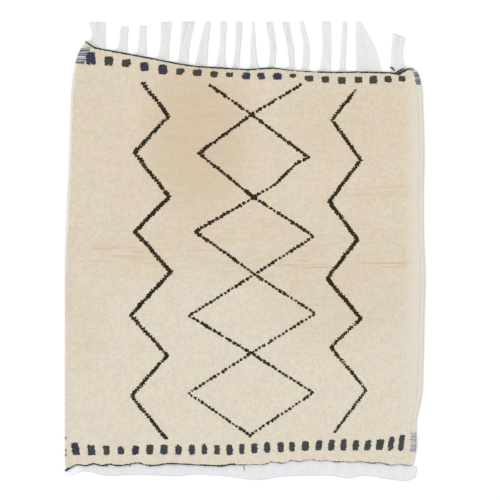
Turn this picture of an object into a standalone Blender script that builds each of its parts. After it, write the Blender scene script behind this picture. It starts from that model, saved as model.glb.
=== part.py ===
"""Hand-knotted wool pile rug with a cotton warp fringe, lying flat and face up.

The rug is woven in one length: a cotton foundation, a field of wool knots, an overcast
selvedge down each side, a dark twined cord where the pile stops at either end, a loose
warp fringe beyond the upper cord and a plain woven end band beyond the lower one.

Frame: metres, +Z up, the underside at z = 0, +Y towards the fringe, +X to the right of
someone who looks down at the pile with the fringe at the far end. The origin is the
middle of the box around the whole rug, on the floor.
"""
from collections import namedtuple

import bpy
import numpy as np

# ---------------------------------------------------------------- driving dimensions
GAP = 0.0003                # clearance between neighbouring solids
FOUNDATION = 0.004          # height of the woven foundation under the knots
PILE_HEIGHT = 0.016         # floor to the tips of the pile
PILE_SHOULDER = 0.014       # how far in from an edge the pile reaches its full height
PILE_UNEVENNESS = 0.0008    # slow swell of the pile's surface
SELVEDGE_WIDTH_LEFT = 0.024
SELVEDGE_WIDTH_RIGHT = 0.032
SELVEDGE_EDGE = 0.003       # height of a selvedge at its two edges
SELVEDGE_CROWN = 0.008      # what its overcast crown adds in the middle
CORD_RADIUS = 0.0026        # twined cord
CORD_LIFT = 0.001           # the warps pass under the cord
BUNCH_RADIUS = 0.008        # bunched end of the upper cord
BUNCH_CENTRE = 0.694        # x of the bunch
BUNCH_REACH = 0.030         # half its length
BUNCH_FLATTENING = 0.75     # height of the bunch over its width
SLOPE_STEP = 0.003          # step over which a cord's slope is read
BUNCH_SHARES = (0.945, 0.955, 0.965, 0.975)     # the field's extra columns at the bunch
HEADING_DEPTH = 0.007       # strip of warps that the bundles start from
HEADING_HEIGHT = 0.0035
BUNDLE_EDGE = 0.0025        # height of a warp bundle at its sides
BUNDLE_CROWN = 0.006        # and along its middle
BUNDLE_MIDDLE = 0.45        # share of a bundle's length at which its middle is stated
BAND_THICKNESS = 0.003
BAND_PUCKER = 0.003         # how high the end band's puckers stand
BAND_PUCKER_LENGTH = 0.093
BAND_RIGHT = 0.756          # the band ends a little beyond the lower cord

# ---------------------------------------------------------------- outline of the rug
Stop = namedtuple("Stop", "along across")

# Each edge is a smooth curve through its stops. The side edges run along y and bow out
# in x; the two cords and the hem run along x and wander in y.
LEFT_EDGE = [Stop(-0.971, -0.793), Stop(-0.660, -0.794), Stop(-0.300, -0.794),
             Stop(-0.012, -0.793), Stop(0.199, -0.785), Stop(0.357, -0.778),
             Stop(0.569, -0.771), Stop(0.683, -0.767), Stop(0.785, -0.756),
             Stop(0.873, -0.734), Stop(0.925, -0.704)]
RIGHT_EDGE = [Stop(-0.945, 0.740), Stop(-0.874, 0.754), Stop(-0.742, 0.757),
              Stop(-0.637, 0.778), Stop(-0.478, 0.785), Stop(-0.267, 0.790),
              Stop(-0.109, 0.794), Stop(0.050, 0.788), Stop(0.208, 0.786),
              Stop(0.472, 0.789), Stop(0.631, 0.784), Stop(0.736, 0.776),
              Stop(0.785, 0.761), Stop(0.811, 0.735)]
UPPER_CORD = [Stop(-0.704, 0.925), Stop(-0.664, 0.897), Stop(-0.581, 0.881),
              Stop(-0.444, 0.855), Stop(-0.330, 0.833), Stop(-0.224, 0.815),
              Stop(-0.106, 0.805), Stop(-0.007, 0.800), Stop(0.110, 0.806),
              Stop(0.224, 0.797), Stop(0.436, 0.786), Stop(0.532, 0.790),
              Stop(0.656, 0.787), Stop(0.735, 0.811)]
LOWER_CORD = [Stop(-0.793, -0.966), Stop(-0.761, -0.946), Stop(-0.669, -0.934),
              Stop(-0.603, -0.941), Stop(-0.480, -0.930), Stop(-0.374, -0.940),
              Stop(-0.326, -0.930), Stop(-0.198, -0.940), Stop(-0.009, -0.940),
              Stop(0.108, -0.928), Stop(0.194, -0.922), Stop(0.365, -0.916),
              Stop(0.484, -0.922), Stop(0.625, -0.937), Stop(0.740, -0.945)]
HEM = [Stop(-0.793, -0.985), Stop(-0.770, -0.988), Stop(-0.739, -0.975),
       Stop(-0.686, -0.972), Stop(-0.616, -0.991), Stop(-0.444, -0.989),
       Stop(-0.299, -0.992), Stop(-0.233, -0.984), Stop(-0.068, -0.997),
       Stop(0.042, -1.008), Stop(0.163, -0.993), Stop(0.292, -0.988),
       Stop(0.374, -0.988), Stop(0.458, -1.000), Stop(0.517, -0.989),
       Stop(0.625, -1.003), Stop(0.702, -1.011), Stop(0.756, -0.972)]

# One row for each loose bundle of warp ends, from left to right: where it starts, passes
# its middle and ends, how wide it is at each of them, and how far up it reaches.
Bundle = namedtuple("Bundle", "base_x base_w mid_x mid_w tip_x tip_w tip_y")
BUNDLES = [
    Bundle(-0.649, 0.066, -0.646, 0.062, -0.652, 0.074, 1.012),
    Bundle(-0.541, 0.042, -0.537, 0.035, -0.531, 0.034, 0.993),
    Bundle(-0.454, 0.046, -0.452, 0.033, -0.450, 0.031, 0.995),
    Bundle(-0.360, 0.048, -0.353, 0.039, -0.348, 0.048, 1.012),
    Bundle(-0.273, 0.044, -0.266, 0.041, -0.250, 0.058, 1.014),
    Bundle(-0.195, 0.050, -0.183, 0.039, -0.164, 0.023, 1.012),
    Bundle(-0.107, 0.045, -0.100, 0.023, -0.095, 0.027, 1.014),
    Bundle(-0.040, 0.028, -0.032, 0.022, -0.025, 0.025, 1.012),
    Bundle(0.041, 0.033, 0.036, 0.023, 0.035, 0.008, 1.011),
    Bundle(0.116, 0.028, 0.123, 0.027, 0.106, 0.031, 1.013),
    Bundle(0.208, 0.025, 0.200, 0.027, 0.180, 0.029, 1.012),
    Bundle(0.262, 0.030, 0.271, 0.027, 0.249, 0.018, 1.013),
    Bundle(0.352, 0.048, 0.360, 0.038, 0.357, 0.040, 1.014),
    Bundle(0.427, 0.026, 0.434, 0.021, 0.439, 0.019, 1.012),
    Bundle(0.548, 0.114, 0.533, 0.093, 0.501, 0.022, 1.013),
    Bundle(0.675, 0.062, 0.670, 0.052, 0.679, 0.053, 0.954),
]

# ---------------------------------------------------------------- colours (linear RGB)
PILE_CREAM = (0.745, 0.651, 0.508)
SELVEDGE_IVORY = (0.738, 0.708, 0.610)
CORD_NAVY = (0.036, 0.040, 0.058)
FRINGE_WHITE = (0.807, 0.807, 0.799)
BAND_WHITE = (0.831, 0.831, 0.871)


def curve_through(stops, along):
    """Cubic curve through the stops: each stop's slope is read from its neighbours, and
    past the first and last stop the curve keeps their value."""
    knots = np.array([stop.along for stop in stops])
    values = np.array([stop.across for stop in stops])
    slopes = np.gradient(values, knots)
    along = np.clip(along, knots[0], knots[-1])
    i = np.clip(np.searchsorted(knots, along) - 1, 0, len(knots) - 2)
    span = knots[i + 1] - knots[i]
    t = (along - knots[i]) / span
    rise = values[i] * (1 + 2 * t) * (1 - t) ** 2 + values[i + 1] * t * t * (3 - 2 * t)
    return rise + span * (slopes[i] * t * (1 - t) ** 2 + slopes[i + 1] * t * t * (t - 1))


def left_edge(y):
    """x of the rug's left edge at height y."""
    return curve_through(LEFT_EDGE, y)


def right_edge(y):
    """x of the rug's right edge at height y."""
    return curve_through(RIGHT_EDGE, y)


def upper_cord(x):
    """y of the upper cord's middle line."""
    return curve_through(UPPER_CORD, x)


def lower_cord(x):
    """y of the lower cord's middle line."""
    return curve_through(LOWER_CORD, x)


def upper_radius(x):
    """Half width of the upper cord: a plain cord that swells to the bunch at its right end."""
    swell = np.clip(1 - ((x - BUNCH_CENTRE) / BUNCH_REACH) ** 2, 0, 1)
    return CORD_RADIUS + (BUNCH_RADIUS - CORD_RADIUS) * swell


def clear_of(cord, x, radius):
    """How far above or below a cord's middle line, along y, its neighbours start: its radius,
    longer where the line slopes, and the clearance."""
    slope = (cord(x + SLOPE_STEP) - cord(x - SLOPE_STEP)) / (2 * SLOPE_STEP)
    return (radius + GAP) * np.sqrt(1 + slope ** 2) + GAP


def below_upper_cord(x):
    """y at which the pile and the selvedges stop under the upper cord."""
    return upper_cord(x) - clear_of(upper_cord, x, upper_radius(x))


def above_lower_cord(x):
    """y at which they start over the lower cord."""
    return lower_cord(x) + clear_of(lower_cord, x, CORD_RADIUS)


def between(u, v, west, east, south, north):
    """Points that lie a share u of the way from the west to the east edge and v of the way
    from the south to the north edge. The side edges depend on y and the others on x, so
    the two are found together by substituting one in the other until they settle."""
    x = 0.0 * u
    y = 0.0 * v
    for _ in range(24):
        x = west(y) + u * (east(y) - west(y))
        y = south(x) + v * (north(x) - south(x))
    return x, y


def even_shares(count, edge_shares, extra=()):
    """Shares from 0 to 1: evenly spaced ones, the edge shares close to both ends, and any
    extra ones."""
    inner = np.linspace(edge_shares[-1], 1 - edge_shares[-1], count)
    ends = np.array([0.0, *edge_shares[:-1]])
    return np.unique(np.concatenate([ends, inner, 1 - ends, extra]).round(9))


def crowded_shares(count, edge_shares):
    """Shares from 0 to 1 that crowd towards both ends, where the corners turn: half of one
    minus the cosine of evenly spaced angles, and the edge shares."""
    crowded = (1 - np.cos(np.linspace(0, np.pi, count))) / 2
    ends = np.array(edge_shares)
    return np.unique(np.concatenate([crowded, ends, 1 - ends]).round(9))


def grid_quads(columns, rows, first=0):
    """Quads of a grid whose points run row by row, seen from above anticlockwise."""
    corner = first + np.arange(rows - 1)[:, None] * columns + np.arange(columns - 1)[None]
    quads = np.stack([corner, corner + 1, corner + columns + 1, corner + columns], axis=-1)
    return quads.reshape(-1, 4)


def make_material(name, colour, roughness):
    """Plain Principled material."""
    material = bpy.data.materials.new(name)
    material.use_nodes = True
    shader = material.node_tree.nodes["Principled BSDF"]
    shader.inputs["Base Color"].default_value = (*colour, 1.0)
    shader.inputs["Roughness"].default_value = roughness
    shader.inputs["Metallic"].default_value = 0.0
    return material


def make_object(name, points, faces, colour, roughness):
    """Object from points and faces, with a material of its own and smooth shading."""
    mesh = bpy.data.meshes.new(name)
    mesh.from_pydata(points.tolist(), [], faces)
    mesh.validate()
    mesh.shade_smooth()
    mesh.set_sharp_from_angle(angle=np.radians(40))
    mesh.materials.append(make_material(name, colour, roughness))
    obj = bpy.data.objects.new(name, mesh)
    bpy.context.scene.collection.objects.link(obj)
    return obj


def rim_of(quads):
    """Points of the outline in order round it, from the edges that only one quad has, each
    taken in its quad's direction and followed from point to point."""
    edges = np.concatenate([quads[:, [k, (k + 1) % 4]] for k in range(4)])
    _, index, uses = np.unique(np.sort(edges, axis=1), axis=0, return_index=True, return_counts=True)
    following = dict(edges[index[uses == 1]].tolist())
    outline = [min(following)]
    while following[outline[-1]] != outline[0]:
        outline.append(following[outline[-1]])
    return outline


def flat_solid(name, x, y, top, quads, colour, roughness):
    """Closed solid between a surface of quads and the floor: the quads, a wall down from each
    edge of their outline, and one level face at z = 0."""
    outline = np.array(rim_of(quads))
    count = len(x)
    upper = np.column_stack([x, y, top])
    lower = np.column_stack([x[outline], y[outline], np.zeros(len(outline))])
    ahead = np.roll(outline, -1)
    foot = count + np.arange(len(outline))
    walls = np.column_stack([ahead, outline, foot, np.roll(foot, -1)])
    faces = quads.tolist() + walls.tolist() + [foot[::-1].tolist()]
    return make_object(name, np.concatenate([upper, lower]), faces, colour, roughness)


def swept_cord(name, x, y, radius, flattening, colour, roughness, sides=8):
    """Closed tube along a level line: a ring of points round each stop, across the line and
    up, squashed in height where the cord swells, with a flat cap on both ends."""
    run = np.column_stack([np.gradient(x), np.gradient(y)])
    run /= np.linalg.norm(run, axis=1, keepdims=True)
    angle = 2 * np.pi * np.arange(sides) / sides + np.pi / sides
    across = radius[:, None] * np.cos(angle)
    height = radius[:, None] * flattening[:, None] * (np.sin(angle) + np.cos(np.pi / sides))
    points = np.stack([x[:, None] + across * run[:, 1:],
                       y[:, None] - across * run[:, :1],
                       CORD_LIFT + height], axis=-1).reshape(-1, 3)
    ring = np.arange(sides)
    start = np.arange(len(x) - 1)[:, None] * sides
    ahead = (ring + 1) % sides
    skin = np.stack([start + ring, start + ring + sides, start + ahead + sides,
                     start + ahead], axis=-1).reshape(-1, 4)
    last = (len(x) - 1) * sides
    faces = skin.tolist() + [ring.tolist(), (last + ring[::-1]).tolist()]
    return make_object(name, points, faces, colour, roughness)


def pile_rise(distance):
    """Share of the full pile height at a distance from an edge: a quarter of a circle."""
    return np.sqrt(1 - (1 - np.clip(distance / PILE_SHOULDER, 0, 1)) ** 2)


def make_field():
    """Field of knots on its foundation, one flat carpet whose pile rounds off at its edges.
    Gives back the x of its columns at its lower and its upper edge."""
    shares_across = even_shares(60, (0.004, 0.0095), BUNCH_SHARES)
    u, v = np.meshgrid(shares_across, crowded_shares(15, (0.0035, 0.008)))
    x, y = between(u, v,
                   lambda y: left_edge(y) + SELVEDGE_WIDTH_LEFT + GAP,
                   lambda y: right_edge(y) - SELVEDGE_WIDTH_RIGHT - GAP,
                   above_lower_cord, below_upper_cord)
    inside = np.minimum(np.minimum(u, 1 - u) * np.ptp(x), np.minimum(v, 1 - v) * np.ptp(y))
    swell = PILE_UNEVENNESS * np.sin(7.0 * x + 2.0) * np.cos(6.0 * y - 1.0)
    top = FOUNDATION + (PILE_HEIGHT - PILE_UNEVENNESS - FOUNDATION + swell) * pile_rise(inside)
    flat_solid("rug_field", x.ravel(), y.ravel(), top.ravel(), grid_quads(*x.T.shape), PILE_CREAM, 0.95)
    return x[[0, -1]]


def make_selvedge(name, west, east):
    """Overcast side edge: a long strip between two side lines with a rounded crown. Gives
    back the x of its columns at its lower and its upper edge."""
    u, v = np.meshgrid([0.0, 0.12, 0.5, 0.88, 1.0], crowded_shares(15, (0.0035, 0.008)))
    x, y = between(u, v, west, east, above_lower_cord, below_upper_cord)
    crown = np.sqrt(1 - (2 * u - 1) ** 2) * pile_rise(np.minimum(v, 1 - v) * np.ptp(y))
    top = SELVEDGE_EDGE + SELVEDGE_CROWN * crown
    flat_solid(name, x.ravel(), y.ravel(), top.ravel(), grid_quads(*x.T.shape), SELVEDGE_IVORY, 0.9)
    return x[[0, -1]]


def make_carpet():
    """Field and selvedges. Gives back the x of all their columns at the lower and at the
    upper edge, without the near copies where two pieces meet, for the cords to turn at."""
    parts = [make_selvedge("selvedge_left", left_edge, lambda y: left_edge(y) + SELVEDGE_WIDTH_LEFT),
             make_field(),
             make_selvedge("selvedge_right", lambda y: right_edge(y) - SELVEDGE_WIDTH_RIGHT, right_edge)]
    edges = np.concatenate(parts, axis=1)
    return [edge[np.diff(edge, prepend=edge[0] - 1) > 2 * GAP] for edge in edges]


def make_twinings(lower_x, upper_x):
    """The two twined cords that lock the pile, the upper one ending in a bunch of its yarn."""
    radius = upper_radius(upper_x)
    share = (radius - CORD_RADIUS) / (BUNCH_RADIUS - CORD_RADIUS)
    squash = 1 + (BUNCH_FLATTENING - 1) * share
    swept_cord("twining_upper", upper_x, upper_cord(upper_x), radius, squash, CORD_NAVY, 0.85)
    even = np.ones(len(lower_x))
    swept_cord("twining_lower", lower_x, lower_cord(lower_x), CORD_RADIUS * even, even, CORD_NAVY, 0.85)


def make_fringe(cord_x):
    """Comb of loose warp ends: a narrow heading beyond the upper cord, and a soft flat bundle
    growing from it at each row of the table, all one body."""
    cord_side = upper_cord(cord_x) + clear_of(upper_cord, cord_x, upper_radius(cord_x))
    feet = [np.array([-0.5, 0.0, 0.5]) * bundle.base_w + bundle.base_x for bundle in BUNDLES]
    x = np.unique(np.concatenate([cord_x, *feet]).round(6))
    x = x[np.diff(x, prepend=x[0] - 1) > 2 * GAP]
    columns = len(x)
    inner = np.interp(x, cord_x, cord_side)
    outer = np.maximum(inner + HEADING_DEPTH / 2, upper_cord(x) + HEADING_DEPTH)
    xs, ys = [x, x], [inner, outer]
    tops = [np.full(columns, HEADING_HEIGHT)] * 2
    quads = [grid_quads(columns, 2)]
    made = 2 * columns
    rows = np.linspace(0, 1, 8)[1:]
    stations = [0.0, BUNDLE_MIDDLE, 1.0]
    for bundle, foot_x in zip(BUNDLES, feet):
        middles = map(Stop, stations, (bundle.base_x, bundle.mid_x, bundle.tip_x))
        widths = map(Stop, stations, (bundle.base_w, bundle.mid_w, bundle.tip_w))
        centre = curve_through(list(middles), rows)[:, None]
        width = curve_through(list(widths), rows)[:, None]
        first, last = np.abs(x[:, None] - foot_x[[0, -1]]).argmin(axis=0)
        foot = np.arange(first, last + 1)
        side = (x[foot] - x[foot[0]]) / (x[foot[-1]] - x[foot[0]]) - 0.5
        xs.append((centre + width * side).ravel())
        ys.append((outer[foot] + (bundle.tip_y - outer[foot]) * rows[:, None]).ravel())
        thinning = 1 - 0.5 * rows[:, None] ** 6
        crown = BUNDLE_EDGE + (BUNDLE_CROWN - BUNDLE_EDGE) * np.sqrt(1 - (2 * side) ** 2)
        tops.append((crown * thinning).ravel())
        row = made + np.arange(len(foot))
        quads.append(np.column_stack([columns + foot[:-1], columns + foot[1:], row[1:], row[:-1]]))
        quads.append(grid_quads(len(foot), len(rows), made))
        made += len(foot) * len(rows)
    flat_solid("fringe", np.concatenate(xs), np.concatenate(ys), np.concatenate(tops),
               np.concatenate(quads), FRINGE_WHITE, 0.8)


def make_end_band(cord_x):
    """Plain woven end band, a thin cloth that puckers towards its uneven hem."""
    x = np.concatenate([cord_x, np.linspace(cord_x[-1], BAND_RIGHT, 3)[1:]])
    cord_side = lower_cord(x) - clear_of(lower_cord, x, CORD_RADIUS)
    v = np.linspace(0, 1, 5)[:, None]
    y = curve_through(HEM, x) * (1 - v) + cord_side * v
    x = x + 0 * v
    wave = 0.5 + 0.5 * np.sin(2 * np.pi * x / BAND_PUCKER_LENGTH + 1.6 * np.sin(5.0 * x))
    top = BAND_THICKNESS + BAND_PUCKER * wave * np.sqrt(np.clip(np.sin(np.pi * v), 0, 1))
    flat_solid("end_band", x.ravel(), y.ravel(), top.ravel(), grid_quads(*x.T.shape), BAND_WHITE, 0.75)


for old in list(bpy.data.objects):
    bpy.data.objects.remove(old, do_unlink=True)

lower_columns, upper_columns = make_carpet()
make_twinings(lower_columns, upper_columns)
make_fringe(upper_columns)
make_end_band(lower_columns)
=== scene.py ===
"""Looks of a hand-knotted cream wool rug, laid face up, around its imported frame.

Metres, +Z up, the floor at z = 0, +Y towards the fringe. The sections follow the rug as it
is made: foundation, pile, dark motifs, selvedges, twined cords, warp fringe and end band.
"""
from collections import namedtuple

import bpy
import numpy as np
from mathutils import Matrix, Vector


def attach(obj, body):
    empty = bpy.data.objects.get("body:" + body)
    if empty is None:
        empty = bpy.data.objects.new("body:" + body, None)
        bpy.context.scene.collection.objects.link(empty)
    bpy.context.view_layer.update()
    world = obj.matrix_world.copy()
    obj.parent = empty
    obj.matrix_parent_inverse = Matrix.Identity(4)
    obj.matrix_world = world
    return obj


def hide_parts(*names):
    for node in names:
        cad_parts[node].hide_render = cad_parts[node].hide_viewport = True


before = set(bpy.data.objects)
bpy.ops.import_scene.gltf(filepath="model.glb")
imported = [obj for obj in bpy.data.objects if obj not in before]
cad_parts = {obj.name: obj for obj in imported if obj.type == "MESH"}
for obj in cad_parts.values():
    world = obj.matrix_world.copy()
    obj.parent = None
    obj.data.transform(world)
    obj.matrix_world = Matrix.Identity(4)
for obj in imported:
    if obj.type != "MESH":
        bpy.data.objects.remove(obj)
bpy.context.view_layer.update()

# ---------------------------------------------------------------- floor, light and camera
# A pale studio floor under an even soft sky with a wide soft sun from the upper left, and a
# camera straight above the rug, far enough away that its edges show no perspective.
VIEW_WIDTH = 2.2
VIEW_CENTRE = (0.0219, 0.0058)
LENS = 85.0
SENSOR = 36.0
RUG_LEVEL = 0.012


def add_node(tree, kind, inputs=None, **settings):
    """A node of that kind with its settings; each input takes a value or another socket."""
    node = tree.nodes.new(kind)
    for name, value in settings.items():
        setattr(node, name, value)
    for key, value in (inputs or {}).items():
        if isinstance(value, bpy.types.NodeSocket):
            tree.links.new(value, node.inputs[key])
        else:
            node.inputs[key].default_value = value
    return node


def add_sun(name, direction, strength, angle):
    """Sun lamp that shines along a direction, its disc as wide as the angle."""
    lamp = bpy.data.lights.new(name, "SUN")
    lamp.energy = strength
    lamp.angle = angle
    holder = bpy.data.objects.new(name, lamp)
    bpy.context.scene.collection.objects.link(holder)
    holder.rotation_mode = "QUATERNION"
    holder.rotation_quaternion = Vector(direction).to_track_quat("-Z", "Y")


scene = bpy.context.scene
scene.view_settings.view_transform = "Standard"
world = bpy.data.worlds.new("studio")
scene.world = world
world.use_nodes = True
sky = world.node_tree.nodes["Background"].inputs
sky["Color"].default_value = (1.0, 1.0, 1.0, 1.0)
sky["Strength"].default_value = 0.86
add_sun("soft_sun", (0.9, -0.8, -1.5), 1.1, 0.7)

floor_mesh = bpy.data.meshes.new("studio_floor")
REACH = 14.0
floor_mesh.from_pydata([(-REACH, -REACH, -0.0004), (REACH, -REACH, -0.0004),
                        (REACH, REACH, -0.0004), (-REACH, REACH, -0.0004)], [], [(0, 1, 2, 3)])
studio_floor = bpy.data.objects.new("studio_floor", floor_mesh)
scene.collection.objects.link(studio_floor)
floor_paint = bpy.data.materials.new("studio_floor")
floor_paint.use_nodes = True
paint = floor_paint.node_tree.nodes["Principled BSDF"].inputs
paint["Base Color"].default_value = (0.93, 0.93, 0.93, 1)
paint["Roughness"].default_value = 0.9
floor_mesh.materials.append(floor_paint)

camera = bpy.data.objects.new("camera", bpy.data.cameras.new("camera"))
scene.collection.objects.link(camera)
camera.data.lens = LENS
camera.data.sensor_width = SENSOR
camera.location = (*VIEW_CENTRE, VIEW_WIDTH * LENS / SENSOR + RUG_LEVEL)
scene.camera = camera

# ---------------------------------------------------------------- foundation
# The woven ground that every knot is tied on: white cotton warps and thin wool wefts, hidden
# by the pile above and seen as a ribbed web on the underside. It carries the rug's outline.
Stop = namedtuple("Stop", "along across")
LEFT_EDGE = [Stop(*row) for row in (
    (-0.971, -0.793), (-0.660, -0.794), (-0.300, -0.794), (-0.012, -0.793), (0.199, -0.785),
    (0.357, -0.778), (0.569, -0.771), (0.683, -0.767), (0.785, -0.756), (0.873, -0.734),
    (0.925, -0.704))]
RIGHT_EDGE = [Stop(*row) for row in (
    (-0.945, 0.740), (-0.874, 0.754), (-0.742, 0.757), (-0.637, 0.778), (-0.478, 0.785),
    (-0.267, 0.790), (-0.109, 0.794), (0.050, 0.788), (0.208, 0.786), (0.472, 0.789),
    (0.631, 0.784), (0.736, 0.776), (0.785, 0.761), (0.811, 0.735))]
UPPER_CORD = [Stop(*row) for row in (
    (-0.704, 0.925), (-0.683, 0.910), (-0.667, 0.899), (-0.652, 0.8945), (-0.6015, 0.884),
    (-0.5065, 0.867), (-0.427, 0.852), (-0.327, 0.832), (-0.227, 0.816), (-0.103, 0.807),
    (0.022, 0.800), (0.1205, 0.8066), (0.2155, 0.796), (0.295, 0.791), (0.378, 0.788),
    (0.506, 0.789), (0.638, 0.7855), (0.681, 0.783), (0.728, 0.804), (0.735, 0.808))]
LOWER_CORD = [Stop(*row) for row in (
    (-0.793, -0.966), (-0.779, -0.958), (-0.760, -0.945), (-0.745, -0.938), (-0.700, -0.941),
    (-0.668, -0.933), (-0.628, -0.941), (-0.599, -0.935), (-0.562, -0.941), (-0.515, -0.936),
    (-0.475, -0.929), (-0.430, -0.939), (-0.383, -0.939), (-0.351, -0.933), (-0.304, -0.933),
    (-0.2245, -0.937), (-0.145, -0.941), (-0.0925, -0.942), (-0.066, -0.936), (-0.0265, -0.9385),
    (0.033, -0.9376), (0.0765, -0.937), (0.092, -0.934), (0.108, -0.927), (0.140, -0.929),
    (0.168, -0.931), (0.187, -0.922), (0.211, -0.920), (0.243, -0.925), (0.263, -0.918),
    (0.290, -0.916), (0.330, -0.921), (0.363, -0.919), (0.405, -0.926), (0.428, -0.923),
    (0.461, -0.927), (0.4835, -0.924), (0.530, -0.927), (0.562, -0.932), (0.585, -0.930),
    (0.622, -0.937), (0.655, -0.939), (0.6775, -0.935), (0.710, -0.942), (0.738, -0.945))]
SELVEDGE_WIDTH_LEFT = 0.024
SELVEDGE_WIDTH_RIGHT = 0.032
CORD_MARGIN = 0.0062
GROUND_TOP = 0.0132
GROUND_RIM = 0.0030
GROUND_BOTTOM = 0.0004


def curve_through(stops, along):
    """Cubic curve through the stops: each stop's slope is read from its neighbours, and
    past the first and last stop the curve keeps their value."""
    knots = np.array([stop.along for stop in stops])
    values = np.array([stop.across for stop in stops])
    slopes = np.gradient(values, knots)
    along = np.clip(along, knots[0], knots[-1])
    i = np.clip(np.searchsorted(knots, along) - 1, 0, len(knots) - 2)
    span = knots[i + 1] - knots[i]
    t = (along - knots[i]) / span
    rise = values[i] * (1 + 2 * t) * (1 - t) ** 2 + values[i + 1] * t * t * (3 - 2 * t)
    return rise + span * (slopes[i] * t * (1 - t) ** 2 + slopes[i + 1] * t * t * (t - 1))


def calm_curve(stops, along):
    """The stops' overall sweep, without their scallops: a cubic fitted to the curve."""
    even = np.linspace(stops[0].along, stops[-1].along, 120)
    fit = np.polyfit(even, curve_through(stops, even), 3)
    return np.polyval(fit, np.clip(along, even[0], even[-1]))


def between(u, v, left, right):
    """Points a share u of the way across, from left to right inside the side edges, and a
    share v of the way up. Rows follow the cords' calm sweep and take up their scallops with
    the twelfth power of v; x and y are put into each other until both settle."""
    x, y = 0.0 * u, 0.0 * v
    for _ in range(24):
        west = curve_through(LEFT_EDGE, y) + left
        east = curve_through(RIGHT_EDGE, y) - right
        x = west + u * (east - west)
        south, north = calm_curve(LOWER_CORD, x), calm_curve(UPPER_CORD, x)
        y = (south + v * (north - south)
             + (curve_through(LOWER_CORD, x) + CORD_MARGIN - south) * (1 - v) ** 12
             + (curve_through(UPPER_CORD, x) - CORD_MARGIN - north) * v ** 12)
    return x, y


def grid_quads(columns, rows):
    """Quads of a grid whose points run row by row, anticlockwise from above."""
    corner = np.arange(rows - 1)[:, None] * columns + np.arange(columns - 1)[None]
    quads = np.stack([corner, corner + 1, corner + columns + 1, corner + columns], axis=-1)
    return quads.reshape(-1, 4)


def slab_faces(columns, rows):
    """Faces of a closed slab of two grids, the upper one first: its top, its bottom turned
    over, and a wall of quads round the rim."""
    top = grid_quads(columns, rows)
    count = columns * rows
    index = np.arange(count).reshape(rows, columns)
    rim = np.concatenate([index[0], index[1:, -1], index[-1, -2::-1], index[-2:0:-1, 0]])
    ahead = np.roll(rim, -1)
    walls = np.column_stack([ahead, rim, rim + count, ahead + count])
    return np.concatenate([top, top[:, ::-1] + count, walls])


def make_piece(name, points, faces, material, replaces=(), attributes=None, bake_map=None,
               crease=None):
    """A piece of the rug on body root: points (n, 3) and a list of face arrays, each with its
    own number of corners, smooth shaded. attributes are named values a point, and bake_map is
    a place a point on the piece's own map. Edges between two points marked in crease stay sharp."""
    faces = [faces] if isinstance(faces, np.ndarray) else faces
    corners = np.concatenate([group.ravel() for group in faces])
    sizes = np.concatenate([np.full(len(group), group.shape[1]) for group in faces])
    mesh = bpy.data.meshes.new(name)
    mesh.vertices.add(len(points))
    mesh.vertices.foreach_set("co", np.ascontiguousarray(points, dtype=np.float32).ravel())
    mesh.loops.add(len(corners))
    mesh.loops.foreach_set("vertex_index", corners.astype(np.int32))
    mesh.polygons.add(len(sizes))
    mesh.polygons.foreach_set("loop_start", (np.cumsum(sizes) - sizes).astype(np.int32))
    mesh.update(calc_edges=True)
    mesh.validate()
    mesh.shade_smooth()
    if crease is not None:
        ends = np.empty(2 * len(mesh.edges), dtype=np.int32)
        mesh.edges.foreach_get("vertices", ends)
        layer = mesh.attributes.new("sharp_edge", "BOOLEAN", "EDGE")
        layer.data.foreach_set("value", crease[ends.reshape(-1, 2)].all(axis=1))
    for key, values in (attributes or {}).items():
        layer = mesh.attributes.new(key, "FLOAT", "POINT")
        layer.data.foreach_set("value", np.ascontiguousarray(values, dtype=np.float32).ravel())
    if bake_map is not None:
        layer = mesh.uv_layers.new(name="OFBake")
        layer.data.foreach_set("uv", bake_map[corners].astype(np.float32).ravel())
    mesh.materials.append(material)
    piece = bpy.data.objects.new(name, mesh)
    scene.collection.objects.link(piece)
    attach(piece, "root")
    if replaces:
        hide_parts(*replaces)
    return piece


def new_material(name, roughness, sheen=0.0, specular=0.3):
    """A Principled material; roughness, sheen and specular level are set on the shader itself.
    Gives back the material, its tree and its shader."""
    material = bpy.data.materials.new(name)
    material.use_nodes = True
    tree = material.node_tree
    shader = tree.nodes["Principled BSDF"]
    shader.inputs["Roughness"].default_value = roughness
    shader.inputs["Specular IOR Level"].default_value = specular
    shader.inputs["Sheen Weight"].default_value = sheen
    shader.inputs["Sheen Roughness"].default_value = 0.6
    return material, tree, shader


def make_group(name, inputs, outputs):
    """An empty shader node group with the named sockets. Gives back its tree, and its input
    and output nodes."""
    tree = bpy.data.node_groups.new(name, "ShaderNodeTree")
    for socket, kind, value in inputs:
        made = tree.interface.new_socket(socket, in_out="INPUT", socket_type=kind)
        if value is not None:
            made.default_value = value
    for socket, kind in outputs:
        tree.interface.new_socket(socket, in_out="OUTPUT", socket_type=kind)
    return tree, tree.nodes.new("NodeGroupInput"), tree.nodes.new("NodeGroupOutput")


def compute(tree, operation, *values):
    """Outcome of one operation on two or three values, each a number or a socket."""
    return add_node(tree, "ShaderNodeMath", dict(enumerate(values)), operation=operation).outputs[0]


def remap(tree, value, low, high, to_low=0.0, to_high=1.0, smooth=False):
    """The value carried from one range to another and held at its ends, in a straight line or
    with soft ends."""
    return add_node(tree, "ShaderNodeMapRange",
                    {"Value": value, "From Min": low, "From Max": high, "To Min": to_low, "To Max": to_high},
                    interpolation_type="SMOOTHSTEP" if smooth else "LINEAR").outputs[0]


def blend(tree, share, tone, other):
    """Colour a share of the way from one tone to the other, each a colour or a socket."""
    tones = [(*one, 1) if isinstance(one, tuple) else one for one in (tone, other)]
    return add_node(tree, "ShaderNodeMix", {0: share, 6: tones[0], 7: tones[1]},
                    data_type="RGBA").outputs[2]


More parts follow.
